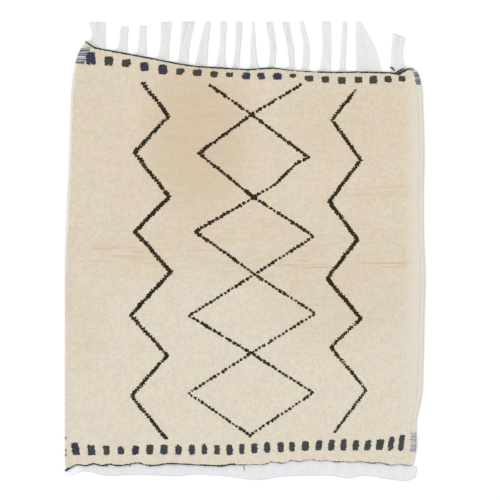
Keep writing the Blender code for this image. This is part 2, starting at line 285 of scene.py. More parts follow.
def noise(tree, place, **settings):
    """Noise value at the place; the settings are its inputs, such as Scale and Detail."""
    return add_node(tree, "ShaderNodeTexNoise", {"Vector": place, **settings}).outputs["Fac"]


def object_place(tree):
    """Place on the rug in metres, whole and split into X, Y and Z."""
    place = add_node(tree, "ShaderNodeTexCoord").outputs["Object"]
    return place, add_node(tree, "ShaderNodeSeparateXYZ", {0: place}).outputs


def add_bump(tree, shader, height, strength, depth):
    """Bump from a height between 0 and 1, that many metres deep."""
    bump = add_node(tree, "ShaderNodeBump", {"Height": height, "Strength": strength, "Distance": depth})
    tree.links.new(bump.outputs[0], shader.inputs["Normal"])


def make_weave_group():
    """Plain weave: two sine waves a thread apart, one along each direction, whose absolute
    value is the height; cells in which one system lies on top alternate like a chessboard."""
    tree, given, out = make_group(
        "plain_weave",
        [("Position", "NodeSocketVector", None), ("Threads per metre", "NodeSocketFloat", 600.0)],
        [("Height", "NodeSocketFloat")])
    scaled = add_node(tree, "ShaderNodeVectorMath", {0: given.outputs["Position"]}, operation="SCALE")
    tree.links.new(given.outputs["Threads per metre"], scaled.inputs["Scale"])
    split = add_node(tree, "ShaderNodeSeparateXYZ", {0: scaled.outputs[0]}).outputs
    waves = [compute(tree, "SINE", compute(tree, "MULTIPLY", split[axis], np.pi)) for axis in ("X", "Y")]
    warp = compute(tree, "GREATER_THAN", compute(tree, "MULTIPLY", *waves), 0.0)
    rounds = [compute(tree, "ABSOLUTE", wave) for wave in waves]
    lift = add_node(tree, "ShaderNodeMix", {0: warp, 2: rounds[1], 3: rounds[0]}, data_type="FLOAT")
    tree.links.new(lift.outputs[0], out.inputs["Height"])
    return tree


WEAVE = make_weave_group()


def weave_height(tree, place, threads):
    """Height of a plain weave with that many threads a metre."""
    weave = add_node(tree, "ShaderNodeGroup", {}, node_tree=WEAVE)
    tree.links.new(place, weave.inputs["Position"])
    weave.inputs["Threads per metre"].default_value = threads
    return weave.outputs["Height"]


def make_ground_material():
    """Seen from below, cream wool wefts over white warps in a coarse plain weave; on the side
    turned up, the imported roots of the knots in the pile's own wool."""
    material, tree, shader = new_material("woven_ground", 0.92, sheen=0.2)
    place, split = object_place(tree)
    web = blend(tree, noise(tree, place, Scale=120.0, Detail=3.0), (0.58, 0.49, 0.37), (0.76, 0.68, 0.55))
    tone = blend(tree, remap(tree, split["Z"], 0.001, 0.0025), web, (0.70, 0.61, 0.50))
    tree.links.new(tone, shader.inputs["Base Color"])
    add_bump(tree, shader, weave_height(tree, place, 210.0), 0.6, 0.0012)
    return material


def make_ground():
    """The ground as a thin slab between the two cords and the two side edges: its top rises
    from a low rim, as a quarter circle does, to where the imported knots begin."""
    columns, rows = 64, 70
    u, v = np.meshgrid(np.linspace(0, 1, columns), np.linspace(0, 1, rows))
    u, v = (0.5 - 0.5 * np.cos(np.pi * share) for share in (u, v))
    x, y = between(u, v, 0.010, 0.010)
    rim = np.clip(np.minimum(np.minimum(u, 1 - u), np.minimum(v, 1 - v)) / 0.012, 0, 1)
    top = GROUND_RIM + (GROUND_TOP - GROUND_RIM) * np.sqrt(1 - (1 - rim) ** 2)
    upper = np.column_stack([x.ravel(), y.ravel(), top.ravel()])
    lower = np.column_stack([x.ravel(), y.ravel(), np.full(x.size, GROUND_BOTTOM)])
    return make_piece("foundation", np.concatenate([upper, lower]), slab_faces(columns, rows),
                      make_ground_material(), ["rug_field"])


foundation = make_ground()

# ---------------------------------------------------------------- cream pile
# Cut ends of thick undyed wool, one knot beside the next in rows across the rug, trodden
# down and matted into a close soft pile. Each tuft is a low dome that leans and overlaps.
KNOT_PITCH = 0.0095
ROW_PITCH = 0.0105
PILE_TOP = 0.0152
PILE_SHOULDER = 0.014
TUFT_FOOT = 0.0085
FIELD_LEFT = SELVEDGE_WIDTH_LEFT - 0.008
FIELD_RIGHT = SELVEDGE_WIDTH_RIGHT - 0.010
TUFT_SIDES = 6
TUFT_RADIUS = 0.0096
TUFT_RINGS = [(0.0, 0.82), (0.86, 1.0)]
random = np.random.default_rng(11)


def knot_grid():
    """Middles of all knots, rows by columns: even shares across and along the field, placed
    between its edges; every row starts a little further left or right than the last."""
    columns = int(round(1.530 / KNOT_PITCH))
    rows = int(round(1.745 / ROW_PITCH))
    column, row = np.meshgrid(np.arange(columns), np.arange(rows))
    shift = random.uniform(-0.35, 0.35, (rows, 1))
    return between((column + 0.5 + shift) / columns, (row + 0.5) / rows, FIELD_LEFT, FIELD_RIGHT)


def edge_distance(x, y):
    """Distance in from the nearest of the field's four edges, read along x and y."""
    across = np.minimum(x - curve_through(LEFT_EDGE, y) - FIELD_LEFT,
                        curve_through(RIGHT_EDGE, y) - FIELD_RIGHT - x)
    along = np.minimum(y - curve_through(LOWER_CORD, x), curve_through(UPPER_CORD, x) - y)
    return np.minimum(across, along)


def slow_swell(x, y, seed, size):
    """Smooth field of values near -1 to 1: the mean of six sine waves about one size long in
    directions drawn from the seed."""
    draw = np.random.default_rng(seed)
    angle = draw.uniform(0, 2 * np.pi, 6)
    wave = 2 * np.pi / (size * draw.uniform(0.7, 1.5, 6))
    phase = draw.uniform(0, 2 * np.pi, 6)
    turns = np.multiply.outer(x, wave * np.cos(angle)) + np.multiply.outer(y, wave * np.sin(angle))
    return np.sin(turns + phase).mean(axis=-1) * 1.8


def tuft_points(x, y, foot, height, radius_x, radius_y, lean_x, lean_y, turn, rings, sides):
    """Points of many tufts at once, (tufts, rings * sides + 1, 3). Ring k lies a share t of the
    height up, is widened by its own factor and moved by the lean times t squared; the last
    point is the tip."""
    angle = turn[:, None] + 2 * np.pi * np.arange(sides) / sides
    layers = []
    for share, widening in rings:
        layers.append(np.stack([
            (x + lean_x * share ** 2)[:, None] + (radius_x * widening)[:, None] * np.cos(angle),
            (y + lean_y * share ** 2)[:, None] + (radius_y * widening)[:, None] * np.sin(angle),
            np.repeat((foot + height * share)[:, None], sides, axis=1)], axis=-1))
    tip = np.stack([x + lean_x, y + lean_y, foot + height], axis=-1)[:, None]
    return np.concatenate(layers + [tip], axis=1)


def tuft_faces(tufts, rings, sides):
    """Side quads and tip triangles of that many tufts, numbered tuft by tuft."""
    ring = np.arange(sides)
    ahead = (ring + 1) % sides
    bands = [np.column_stack([k * sides + ring, k * sides + ahead, (k + 1) * sides + ahead,
                              (k + 1) * sides + ring]) for k in range(rings - 1)]
    crown = np.column_stack([(rings - 1) * sides + ring, (rings - 1) * sides + ahead,
                             np.full(sides, rings * sides)])
    first = np.arange(tufts)[:, None, None] * (rings * sides + 1)
    return [(np.concatenate(bands)[None] + first).reshape(-1, 4), (crown[None] + first).reshape(-1, 3)]


def tuft_map(column, row, columns, rows, turn, rings, sides):
    """Each tuft's own cell on the bake map: its rings as ever smaller circles round the tip."""
    angle = turn[:, None] + 2 * np.pi * np.arange(sides) / sides
    layers = []
    for k in range(rings):
        reach = 0.47 * (1 - k / rings)
        layers.append(np.stack([(column[:, None] + 0.5 + reach * np.cos(angle)) / columns,
                                (row[:, None] + 0.5 + reach * np.sin(angle)) / rows], axis=-1))
    tip = np.stack([(column + 0.5) / columns, (row + 0.5) / rows], axis=-1)[:, None]
    return np.concatenate(layers + [tip], axis=1).reshape(-1, 2)


def make_wool_group():
    """Undyed or dyed wool: the colour drifts between two tones in patches and in fine flecks,
    and each yarn is a little lighter or darker than the next. Painted shade darkens each yarn
    from its tip down to its root, for the shade deep in the pile. It puts out the colour and a
    fine fibre height."""
    tree, given, out = make_group(
        "wool_yarn",
        [("Position", "NodeSocketVector", None), ("Tone", "NodeSocketColor", (1, 1, 1, 1)),
         ("Other tone", "NodeSocketColor", (1, 1, 1, 1)), ("Patches per metre", "NodeSocketFloat", 9.0),
         ("Yarn", "NodeSocketFloat", 0.5), ("Yarn contrast", "NodeSocketFloat", 0.1),
         ("Reach", "NodeSocketFloat", 1.0), ("Root shade", "NodeSocketFloat", 0.7)],
        [("Color", "NodeSocketColor"), ("Fibre", "NodeSocketFloat")])
    place = given.outputs["Position"]
    patches = noise(tree, place, Detail=3.0, Roughness=0.6, Scale=given.outputs["Patches per metre"])
    tone = blend(tree, remap(tree, patches, 0.36, 0.64), given.outputs["Tone"], given.outputs["Other tone"])
    swing = compute(tree, "MULTIPLY", compute(tree, "SUBTRACT", given.outputs["Yarn"], 0.5),
                 given.outputs["Yarn contrast"])
    fleck = remap(tree, noise(tree, place, Scale=260.0, Detail=2.0), 0.3, 0.7, 0.96, 1.03)
    # Painted shade: the colour falls from full brightness at the tip (reach 1) to the root shade value at
    # the root (reach 0).
    shade = remap(tree, given.outputs["Reach"], 0.0, 1.0, given.outputs["Root shade"])
    bright = compute(tree, "MULTIPLY", compute(tree, "ADD", shade, swing), fleck)
    final = add_node(tree, "ShaderNodeVectorMath", {0: tone}, operation="SCALE")
    tree.links.new(bright, final.inputs["Scale"])
    tree.links.new(final.outputs[0], out.inputs["Color"])
    tree.links.new(noise(tree, place, Scale=1400.0, Detail=2.0, Roughness=0.7), out.inputs["Fibre"])
    return tree


WOOL = make_wool_group()


def wool(tree, place, tone, other, contrast, root_shade, patches):
    """The wool group placed in a material's tree, fed with the piece's own attributes; the
    tones are colours or sockets."""
    made = add_node(tree, "ShaderNodeGroup", {}, node_tree=WOOL)
    given = {"Position": place, "Tone": tone, "Other tone": other, "Yarn contrast": contrast,
             "Root shade": root_shade, "Patches per metre": patches}
    for name, value in given.items():
        if isinstance(value, bpy.types.NodeSocket):
            tree.links.new(value, made.inputs[name])
        else:
            made.inputs[name].default_value = (*value, 1) if isinstance(value, tuple) else value
    for name, attribute in (("Yarn", "yarn"), ("Reach", "reach")):
        source = add_node(tree, "ShaderNodeAttribute", {}, attribute_name=attribute)
        tree.links.new(source.outputs["Fac"], made.inputs[name])
    return made


# Where darker wool was knotted in: middle and reach of the place, how tan it is all over and
# how strongly single rows stand out in it.
Streak = namedtuple("Streak", "x y half_width half_height tan rows")
STREAKS = [Streak(*row) for row in (
    (-0.630, 0.020, 0.18, 0.018, 0.10, 0.80), (-0.410, -0.020, 0.34, 0.050, 0.05, 0.45),
    (0.262, -0.062, 0.14, 0.030, 0.10, 0.80), (0.622, -0.050, 0.16, 0.028, 0.10, 0.75),
    (-0.210, 0.510, 0.27, 0.42, 0.50, 0.12), (0.060, 0.010, 0.90, 0.17, 0.10, 0.20),
    (0.420, -0.220, 0.38, 0.26, 0.17, 0.10), (0.450, 0.560, 0.30, 0.22, 0.12, 0.10),
    (-0.740, -0.350, 0.16, 0.20, 0.13, 0.10), (0.600, 0.260, 0.20, 0.05, 0.05, 0.45))]


def make_pile_material():
    """Cream wool that drifts between a pinkish and a yellowish tone, with tan where darker
    wool was knotted in; there the rows show as fine streaks. It turns paler towards the right edge."""
    material, tree, shader = new_material("pile_cream", 0.95, sheen=0.10)
    place, split = object_place(tree)
    drift = compute(tree, "MULTIPLY_ADD", noise(tree, place, Scale=6.0, Detail=2.0), 1.6, split["Y"])
    upward = remap(tree, drift, 0.45, 1.05, smooth=True)
    tone = blend(tree, upward, (0.664, 0.592, 0.500), (0.655, 0.560, 0.458))
    other = blend(tree, upward, (0.655, 0.602, 0.478), (0.648, 0.572, 0.432))
    # 0.93 is the painted shade at the tuft roots: they are 93 % as bright as the tips.
    yarn = wool(tree, place, tone, other, 0.11, 0.93, 22.0)
    masks = []
    for streak in STREAKS:
        off_x = compute(tree, "DIVIDE", compute(tree, "SUBTRACT", split["X"], streak.x), streak.half_width)
        off_y = compute(tree, "DIVIDE", compute(tree, "SUBTRACT", split["Y"], streak.y), streak.half_height)
        away = compute(tree, "ADD", compute(tree, "POWER", off_x, 2.0), compute(tree, "POWER", off_y, 2.0))
        masks.append([remap(tree, away, 0.0, 1.3, strength, 0.0, smooth=True)
                      for strength in (streak.tan, streak.rows)])
    plain, in_rows = masks[0]
    for mask, row_mask in masks[1:]:
        plain, in_rows = compute(tree, "MAXIMUM", plain, mask), compute(tree, "MAXIMUM", in_rows, row_mask)
    stretched = add_node(tree, "ShaderNodeMapping", {"Vector": place, "Scale": (5.0, 125.0, 1.0)})
    rows = remap(tree, noise(tree, stretched.outputs[0], Scale=1.0, Detail=2.0, Roughness=0.6), 0.49, 0.61)
    tan = compute(tree, "MULTIPLY_ADD", compute(tree, "ADD", in_rows, 0.05), rows, plain)
    tinted = blend(tree, tan, yarn.outputs["Color"], (0.545, 0.425, 0.270))
    paler = blend(tree, remap(tree, split["X"], 0.685, 0.770, smooth=True), tinted, (0.674, 0.633, 0.546))
    tree.links.new(paler, shader.inputs["Base Color"])
    add_bump(tree, shader, yarn.outputs["Fibre"], 0.3, 0.0006)
    return material


# The dark lines: the corners that each passes, from the upper to the lower end, and how full
# its knots are there.
Corner = namedtuple("Corner", "x y full")
LEFT_ZIGZAG = [Corner(*row) for row in (
    (-0.448, 0.738, 1.08), (-0.336, 0.596, 1.06), (-0.486, 0.4335, 1.08), (-0.3345, 0.240, 1.08),
    (-0.483, 0.087, 1.10), (-0.327, -0.091, 1.11), (-0.503, -0.281, 1.04), (-0.341, -0.457, 0.98),
    (-0.500, -0.635, 0.96), (-0.346, -0.825, 0.94))]
RIGHT_ZIGZAG = [Corner(*row) for row in (
    (0.489, 0.713, 0.60), (0.460, 0.677, 0.96), (0.382, 0.579, 0.94), (0.508, 0.403, 0.92),
    (0.371, 0.219, 1.03), (0.4945, 0.052, 1.05), (0.361, -0.119, 1.06), (0.509, -0.295, 1.06),
    (0.377, -0.421, 0.96), (0.532, -0.609, 0.77), (0.392, -0.798, 0.75))]
FALLING_LINE = [Corner(*row) for row in (
    (-0.154, 0.731, 1.05), (0.028, 0.602, 1.05), (0.280, 0.413, 1.15), (0.235, 0.393, 1.15),
    (0.190, 0.354, 1.0), (0.147, 0.307, 1.05), (0.109, 0.278, 1.08), (0.075, 0.262, 1.05),
    (0.039, 0.237, 1.03), (-0.219, 0.088, 1.18), (0.042, -0.101, 1.00), (0.310, -0.274, 0.88),
    (0.027, -0.448, 0.86), (-0.249, -0.624, 0.88), (0.022, -0.808, 0.88))]
RISING_LINE = [Corner(*row) for row in (
    (0.244, 0.731, 0.95), (0.028, 0.602, 1.0), (-0.203, 0.431, 1.10), (0.039, 0.237, 1.10),
    (0.303, 0.066, 1.05), (0.042, -0.101, 1.0), (-0.246, -0.283, 0.98), (0.027, -0.448, 0.98),
    (0.300, -0.622, 0.90), (0.022, -0.808, 0.86))]

# The blocks of the two borders: middle and width along x, lower and upper end along y, how
# far the top leans to the right of the foot, and the dye, from navy (0) to brown (1).
Block = namedtuple("Block", "x width low high lean dye")
UPPER_BLOCKS = [Block(*row) for row in (
    (-0.679, 0.045, 0.819, 0.878, -0.004, 0.05), (-0.599, 0.041, 0.816, 0.858, 0, 0.60),
    (-0.522, 0.041, 0.812, 0.846, 0, 0.90), (-0.442, 0.039, 0.792, 0.833, 0, 0.15),
    (-0.362, 0.040, 0.778, 0.821, 0, 0.10), (-0.285, 0.038, 0.776, 0.806, 0, 0.65),
    (-0.2095, 0.040, 0.7705, 0.800, 0, 0.95), (-0.137, 0.034, 0.766, 0.792, 0, 0.85),
    (-0.068, 0.031, 0.767, 0.786, 0, 0.60), (0.004, 0.038, 0.756, 0.787, 0, 0.10),
    (0.0705, 0.034, 0.7555, 0.786, 0, 0.45), (0.142, 0.039, 0.754, 0.786, 0, 0.10),
    (0.210, 0.028, 0.765, 0.7805, 0, 1.00), (0.2815, 0.039, 0.747, 0.773, 0, 0.60),
    (0.3535, 0.035, 0.741, 0.771, 0, 0.65), (0.427, 0.036, 0.734, 0.767, 0, 0.60),
    (0.4995, 0.035, 0.740, 0.768, 0, 0.65), (0.564, 0.038, 0.738, 0.773, 0, 0.60),
    (0.629, 0.031, 0.745, 0.770, 0, 0.95), (0.690, 0.029, 0.746, 0.7715, 0, 1.00))]
LOWER_BLOCKS = [Block(*row) for row in (
    (-0.746, 0.036, -0.897, -0.842, -0.009, 0.14), (-0.676, 0.035, -0.897, -0.848, -0.005, 0.40),
    (-0.609, 0.0305, -0.896, -0.8535, -0.002, 0.60), (-0.5455, 0.030, -0.894, -0.857, 0, 0.40),
    (-0.482, 0.031, -0.895, -0.853, 0.003, 0.00), (-0.419, 0.031, -0.894, -0.850, 0.003, 0.65),
    (-0.356, 0.032, -0.894, -0.850, 0.002, 0.30), (-0.293, 0.030, -0.894, -0.850, 0, 0.35),
    (-0.234, 0.026, -0.894, -0.850, 0, 0.30), (-0.179, 0.025, -0.894, -0.848, 0, 0.60),
    (-0.1235, 0.027, -0.894, -0.851, 0, 0.45), (-0.068, 0.029, -0.896, -0.850, 0, 0.25),
    (-0.014, 0.023, -0.892, -0.8465, 0, 0.60), (0.0415, 0.028, -0.890, -0.844, 0, 0.30),
    (0.097, 0.028, -0.887, -0.839, -0.002, 0.40), (0.157, 0.029, -0.884, -0.838, -0.002, 0.40),
    (0.207, 0.026, -0.880, -0.837, -0.003, 0.50), (0.2655, 0.032, -0.877, -0.833, 0.003, 0.60),
    (0.3245, 0.030, -0.8755, -0.830, 0.006, 0.25), (0.380, 0.029, -0.877, -0.826, 0.005, 0.55),
    (0.433, 0.028, -0.877, -0.826, 0.003, 0.50), (0.487, 0.028, -0.876, -0.828, 0.002, 0.50),
    (0.540, 0.029, -0.876, -0.830, 0.006, 0.55), (0.5935, 0.034, -0.8755, -0.825, 0.008, 0.50),
    (0.642, 0.027, -0.876, -0.815, 0.009, 0.50), (0.688, 0.025, -0.877, -0.806, 0.008, 0.40))]


def row_crossings(corners):
    """Where the line through the corners crosses each row of knots: x, y, its slope, x over y,
    and how full it is. In a row, the crossing lies between the last knot left of the line and
    the next one; a slow swell makes the line waver."""
    ys = np.array([corner.y for corner in corners])[::-1]
    xs = np.array([corner.x for corner in corners])[::-1]
    off = grid_x - np.interp(grid_y, ys, xs)
    row = np.arange(len(off))
    after = np.clip((off > 0).argmax(axis=1), 1, off.shape[1] - 1)
    share = off[row, after - 1] / (off[row, after - 1] - off[row, after])
    x = grid_x[row, after - 1] * (1 - share) + grid_x[row, after] * share
    y = grid_y[row, after - 1] * (1 - share) + grid_y[row, after] * share
    slope = (np.interp(y + 0.003, ys, xs) - np.interp(y - 0.003, ys, xs)) / 0.006
    kept = (y > ys[0] - 0.005) & (y < ys[-1] + 0.005)
    full = np.interp(y, ys, np.array([corner.full for corner in corners])[::-1])
    x = x + 0.0024 * slow_swell(x, y, 31, 0.045)
    return x[kept], y[kept], slope[kept], full[kept]


def block_knot_places(blocks, ragged):
    """Knots of the border blocks, each block on its own small grid, smaller and drawn in at
    the corners. The side given by ragged, 1 for the upper and -1 for the lower one, misses a
    knot here and there."""
    xs, ys, dyes, sizes = [], [], [], []
    for block in blocks:
        across = max(2, int(round(block.width / 0.0088)))
        along = max(2, int(round((block.high - block.low) / 0.0095)))
        u, v = np.meshgrid((np.arange(across) + 0.5) / across - 0.5, (np.arange(along) + 0.5) / along)
        corner = np.abs(2 * u * (2 * v - 1))
        size = 1.10 - 0.34 * corner
        x = block.x + u * (1 - 0.12 * corner) * (block.width - 0.0036) + block.lean * (v - 0.5)
        v = 0.5 + (v - 0.5) * (1 - 0.12 * corner)
        y = block.low + 0.0013 + v * (block.high - block.low - 0.0026)
        y = y + random.normal(0, 0.0006, x.shape)
        edge = (v > 1 - 0.8 / along) if ragged > 0 else (v < 0.8 / along)
        kept = ~(edge & (random.random(x.shape) < 0.07))
        xs.append(x[kept] + random.normal(0, 0.0006, kept.sum()))
        ys.append(y[kept])
        dyes.append(np.full(kept.sum(), block.dye) + random.normal(0, 0.05, kept.sum()))
        sizes.append(size[kept])
    return np.concatenate(xs), np.concatenate(ys), np.concatenate(dyes), np.concatenate(sizes)


def near_line(x, y, crossings, half_width):
    """True for the cream knots within the half width of a dark knot of the line, measured
    along the row, in the rows that the line crosses."""
    line_x, line_y, _, full = crossings
    order = np.argsort(line_y)
    middle = np.interp(y, line_y[order], line_x[order])
    half_width = half_width * np.interp(y, line_y[order], full[order])
    return (np.abs(x - middle) < half_width) & (y > line_y.min() - 0.004) & (y < line_y.max() + 0.004)


def near_blocks(x, y, blocks):
    """True for the cream knots inside any of the blocks."""
    found = np.zeros(x.shape, dtype=bool)
    for block in blocks:
        middle = block.x + block.lean * ((y - block.low) / (block.high - block.low) - 0.5)
        found |= ((np.abs(x - middle) < block.width / 2 + 0.001)
                  & (y > block.low - 0.001) & (y < block.high + 0.002))
    return found


grid_x, grid_y = knot_grid()
ROWS, COLUMNS = grid_x.shape
ZIGZAGS = [row_crossings(LEFT_ZIGZAG), row_crossings(RIGHT_ZIGZAG)]
LOZENGES = [row_crossings(FALLING_LINE), row_crossings(RISING_LINE)]
cream = ~(near_blocks(grid_x, grid_y, UPPER_BLOCKS) | near_blocks(grid_x, grid_y, LOWER_BLOCKS))
for crossings in ZIGZAGS:
    cream &= ~near_line(grid_x, grid_y, crossings, 0.0092)
for crossings in LOZENGES:
    cream &= ~near_line(grid_x, grid_y, crossings, 0.0080)


def lean_of(x, y, count):
    """Lean of the pile: mostly towards the lower end, drifting slowly over the rug, with each
    tuft a little astray."""
    lean_x = 0.0012 * slow_swell(x, y, 5, 0.16) + random.normal(0, 0.0008, count)
    lean_y = -0.0024 + 0.0012 * slow_swell(x, y, 6, 0.20) + random.normal(0, 0.0008, count)
    return lean_x, lean_y


def make_cream_tufts(name, first_row, end_row, material):
    """One band of the cream pile: all its tufts as one mesh. Every second row is set half a
    knot aside. Heights fall along the edges as a quarter circle does, over the shoulder."""
    rows, columns = np.nonzero(cream[first_row:end_row])
    x = grid_x[first_row:end_row][rows, columns] + random.normal(0, 0.0013, len(rows))
    x = x + KNOT_PITCH * (0.25 - 0.5 * ((rows + first_row) % 2))
    y = grid_y[first_row:end_row][rows, columns] + random.normal(0, 0.0008, len(rows))
    count = len(x)
    rise = np.sqrt(1 - (1 - np.clip(edge_distance(x, y) / PILE_SHOULDER, 0.05, 1)) ** 2)
    height = (PILE_TOP - TUFT_FOOT) * (0.60 + 0.40 * rise) + 0.0004 * slow_swell(x, y, 7, 0.11)
    height = np.maximum(height + random.normal(0, 0.00018, count), 0.001)
    foot = TUFT_FOOT * (0.70 + 0.30 * rise)
    lean_x, lean_y = lean_of(x, y, count)
    size = random.uniform(0.90, 1.10, count)
    turn = random.uniform(0, np.pi, count)
    points = tuft_points(x, y, foot, height, TUFT_RADIUS * size, TUFT_RADIUS * size, lean_x, lean_y,
                         turn, TUFT_RINGS, TUFT_SIDES)
    yarn = np.repeat(random.random(count)[:, None], 2 * TUFT_SIDES + 1, axis=1)
    # Reach runs from 0 at the foot ring to 1 at the tip. The wool group paints shade by it, darkest at the
    # foot.
    reach = np.tile(np.repeat([0.0, 0.86, 1.0], [TUFT_SIDES, TUFT_SIDES, 1]), (count, 1))
    own_map = tuft_map(columns, rows, COLUMNS, end_row - first_row, turn, 2, TUFT_SIDES)
    return make_piece(name, points.reshape(-1, 3), tuft_faces(count, 2, TUFT_SIDES), material,
                      attributes={"yarn": yarn, "reach": reach}, bake_map=own_map,
                      crease=(reach == 0.86).ravel())


pile_material = make_pile_material()
BANDS = [("pile_lower", 0, 56), ("pile_middle", 56, 111), ("pile_upper", 111, ROWS)]
pile_pieces = [make_cream_tufts(*band, pile_material) for band in BANDS]

# ---------------------------------------------------------------- dark motifs
# Knots of near-black wool in the same rows: two knots wide in the zigzags, one in the
# lozenges and about four in the border blocks. Their thinner ends splay over the cream.
TAIL_RINGS = [(0.0, 0.9), (0.45, 1.0), (0.82, 0.72)]
TAIL_SIDES = 5


def make_dark_material(name, dyes, contrast):
    """Dark wool whose colour runs through the dyes, given as places from 0 to 1 and colours,
    by each knot's own dye value."""
    material, tree, shader = new_material(name, 0.92, sheen=0.02, specular=0.12)
    dye = add_node(tree, "ShaderNodeAttribute", {}, attribute_name="dye")
    ramp = add_node(tree, "ShaderNodeValToRGB", {0: dye.outputs["Fac"]})
    while len(ramp.color_ramp.elements) < len(dyes):
        ramp.color_ramp.elements.new(0.5)
    for element, (where, colour) in zip(ramp.color_ramp.elements, dyes):
        element.position = where
        element.color = (*colour, 1)
    colour = ramp.outputs["Color"]
    # 0.75 is the painted shade at the knot roots: they are 75 % as bright as the tips.
    yarn = wool(tree, object_place(tree)[0], colour, colour, contrast, 0.75, 30.0)
    tree.links.new(yarn.outputs["Color"], shader.inputs["Base Color"])
    add_bump(tree, shader, yarn.outputs["Fibre"], 0.4, 0.0006)
    return material


def make_dark_tufts(name, x, y, dye, weight, material, tails, spread, radius, splay, rise):
    """The dark knots of one kind: each is a few thinner tails round the knot's middle, the
    spread away from it, that splay outwards and stand a little proud of the pile."""
    knots = len(x)
    count = knots * tails
    angle = 2 * np.pi * (np.arange(tails) / tails + random.random((knots, 1)))
    away_x, away_y = np.cos(angle).ravel(), np.sin(angle).ravel()
    weight = np.repeat(weight, tails)
    x = np.repeat(x, tails) + spread * weight * away_x
    y = np.repeat(y, tails) + spread * weight * away_y
    inside = np.clip(edge_distance(x, y) / PILE_SHOULDER, 0.25, 1)
    height = (PILE_TOP - TUFT_FOOT) * np.sqrt(1 - (1 - inside) ** 2) + rise + random.normal(0, 0.0004, count)
    lean_x, lean_y = lean_of(x, y, count)
    reach_out = splay * random.uniform(0.2, 1.8, count)
    lean_x = 0.4 * lean_x + reach_out * away_x
    lean_y = 0.4 * lean_y + 0.0008 + reach_out * away_y
    size = radius * weight * random.uniform(0.8, 1.2, count)
    turn = random.uniform(0, np.pi, count)
    points = tuft_points(x, y, np.full(count, TUFT_FOOT), height, size, size, lean_x, lean_y, turn,
                         TAIL_RINGS, TAIL_SIDES)
    shape = (count, len(TAIL_RINGS) * TAIL_SIDES + 1)
    yarn = np.broadcast_to(random.random((count, 1)), shape)
    tint = np.broadcast_to((np.repeat(dye, tails) + random.normal(0, 0.08, count))[:, None], shape)
    # Reach runs from the foot to the tip. The wool group darkens the tails towards the foot as painted
    # shade.
    reach = np.tile(np.repeat([0.0, 0.5, 0.9, 1.0], [TAIL_SIDES] * 3 + [1]), (count, 1))
    side = int(np.ceil(np.sqrt(count)))
    own_map = tuft_map(np.arange(count) % side, np.arange(count) // side, side, side, turn,
                       len(TAIL_RINGS), TAIL_SIDES)
    return make_piece(name, points.reshape(-1, 3), tuft_faces(count, len(TAIL_RINGS), TAIL_SIDES), material,
                      attributes={"yarn": yarn, "reach": reach, "dye": tint}, bake_map=own_map)


def make_line_knots(name, lines, material, step_share, row_offset, uneven, **shape):
    """Knots along lines: in each row two, set apart by a share of the line's own step from row
    to row, more where it falls to the right, and by the offset along the row. Their dye drifts
    slowly along the line. Where two lines cross, only the first has a knot."""
    x, y, slope, full = (np.concatenate(values) for values in zip(*lines))
    first = len(lines[0][0])
    gap = np.hypot(x[first:, None] - x[:first], y[first:, None] - y[:first]).min(axis=1)
    kept = np.ones(len(x), dtype=bool)
    kept[first:] = gap > 0.007
    x, y, slope, full = x[kept], y[kept], slope[kept], full[kept]
    side = np.repeat([[-1.0], [1.0]], len(x), axis=1)
    share = step_share * (1.3 - 0.3 * np.sign(slope))
    knots_x = (x + side * full * (row_offset * np.sign(slope) + share * ROW_PITCH * slope)).ravel()
    knots_y = (y + side * share * ROW_PITCH).ravel()
    weight = np.tile(full * random.uniform(1 - uneven, 1 + uneven, len(x)), 2)
    dye = 0.5 + 0.5 * slow_swell(knots_x, knots_y, 9, 0.09)
    return make_dark_tufts(name, knots_x, knots_y, dye, weight, material, **shape)


zigzag_wool = make_dark_material("zigzag_wool", [
    (0.0, (0.021, 0.021, 0.011)), (0.6, (0.031, 0.025, 0.010)), (0.9, (0.056, 0.037, 0.016))], 0.5)
lozenge_wool = make_dark_material("lozenge_wool", [
    (0.0, (0.020, 0.021, 0.015)), (0.5, (0.031, 0.022, 0.012)), (0.9, (0.052, 0.032, 0.018))], 0.6)
block_wool = make_dark_material("block_wool", [
    (0.0, (0.041, 0.041, 0.066)), (0.4, (0.053, 0.068, 0.074)), (0.62, (0.062, 0.062, 0.056)),
    (1.0, (0.070, 0.054, 0.050))], 0.4)
zigzag_knots = make_line_knots("zigzag_knots", ZIGZAGS, zigzag_wool, 0.0, 0.0036, 0.13, tails=3,
                               spread=0.0025, radius=0.0060, splay=0.0026, rise=0.0014)
lozenge_knots = make_line_knots("lozenge_knots", LOZENGES, lozenge_wool, 0.09, 0.0002, 0.28, tails=3,
                                spread=0.0025, radius=0.0059, splay=0.0022, rise=0.0016)
block_x, block_y, block_dye, block_size = (np.concatenate(values) for values in zip(
    block_knot_places(UPPER_BLOCKS, -1), block_knot_places(LOWER_BLOCKS, 1)))
block_knots = make_dark_tufts("block_knots", block_x, block_y, block_dye, block_size, block_wool,
                              tails=3, spread=0.0024, radius=0.0054, splay=0.0010, rise=0.0013)

# ---------------------------------------------------------------- selvedges
# The side edges: the outer warps overcast with ivory wool yarn, wrap beside wrap, which
# makes a firm rounded strip, a little paler and flatter than the pile beside it.
WRAP_PITCH = 0.0052


def tube_points(paths, radius, flat, sides):
    """Rings of points round many paths at once: paths (n, stations, 3), radius and flat broadcast
    to (n, stations, sides). A ring lies across its path's direction, is squashed upwards by flat,
    and starts at the side."""
    run = np.gradient(paths, axis=1)
    run[..., 2] = 0
    run /= np.maximum(np.linalg.norm(run, axis=-1, keepdims=True), 1e-9)
    angle = 2 * np.pi * np.arange(sides) / sides
    across = radius * np.cos(angle)
    up = radius * flat * np.sin(angle)
    return np.stack([paths[..., 0, None] + across * run[..., 1, None],
                     paths[..., 1, None] - across * run[..., 0, None],
                     paths[..., 2, None] + up], axis=-1)


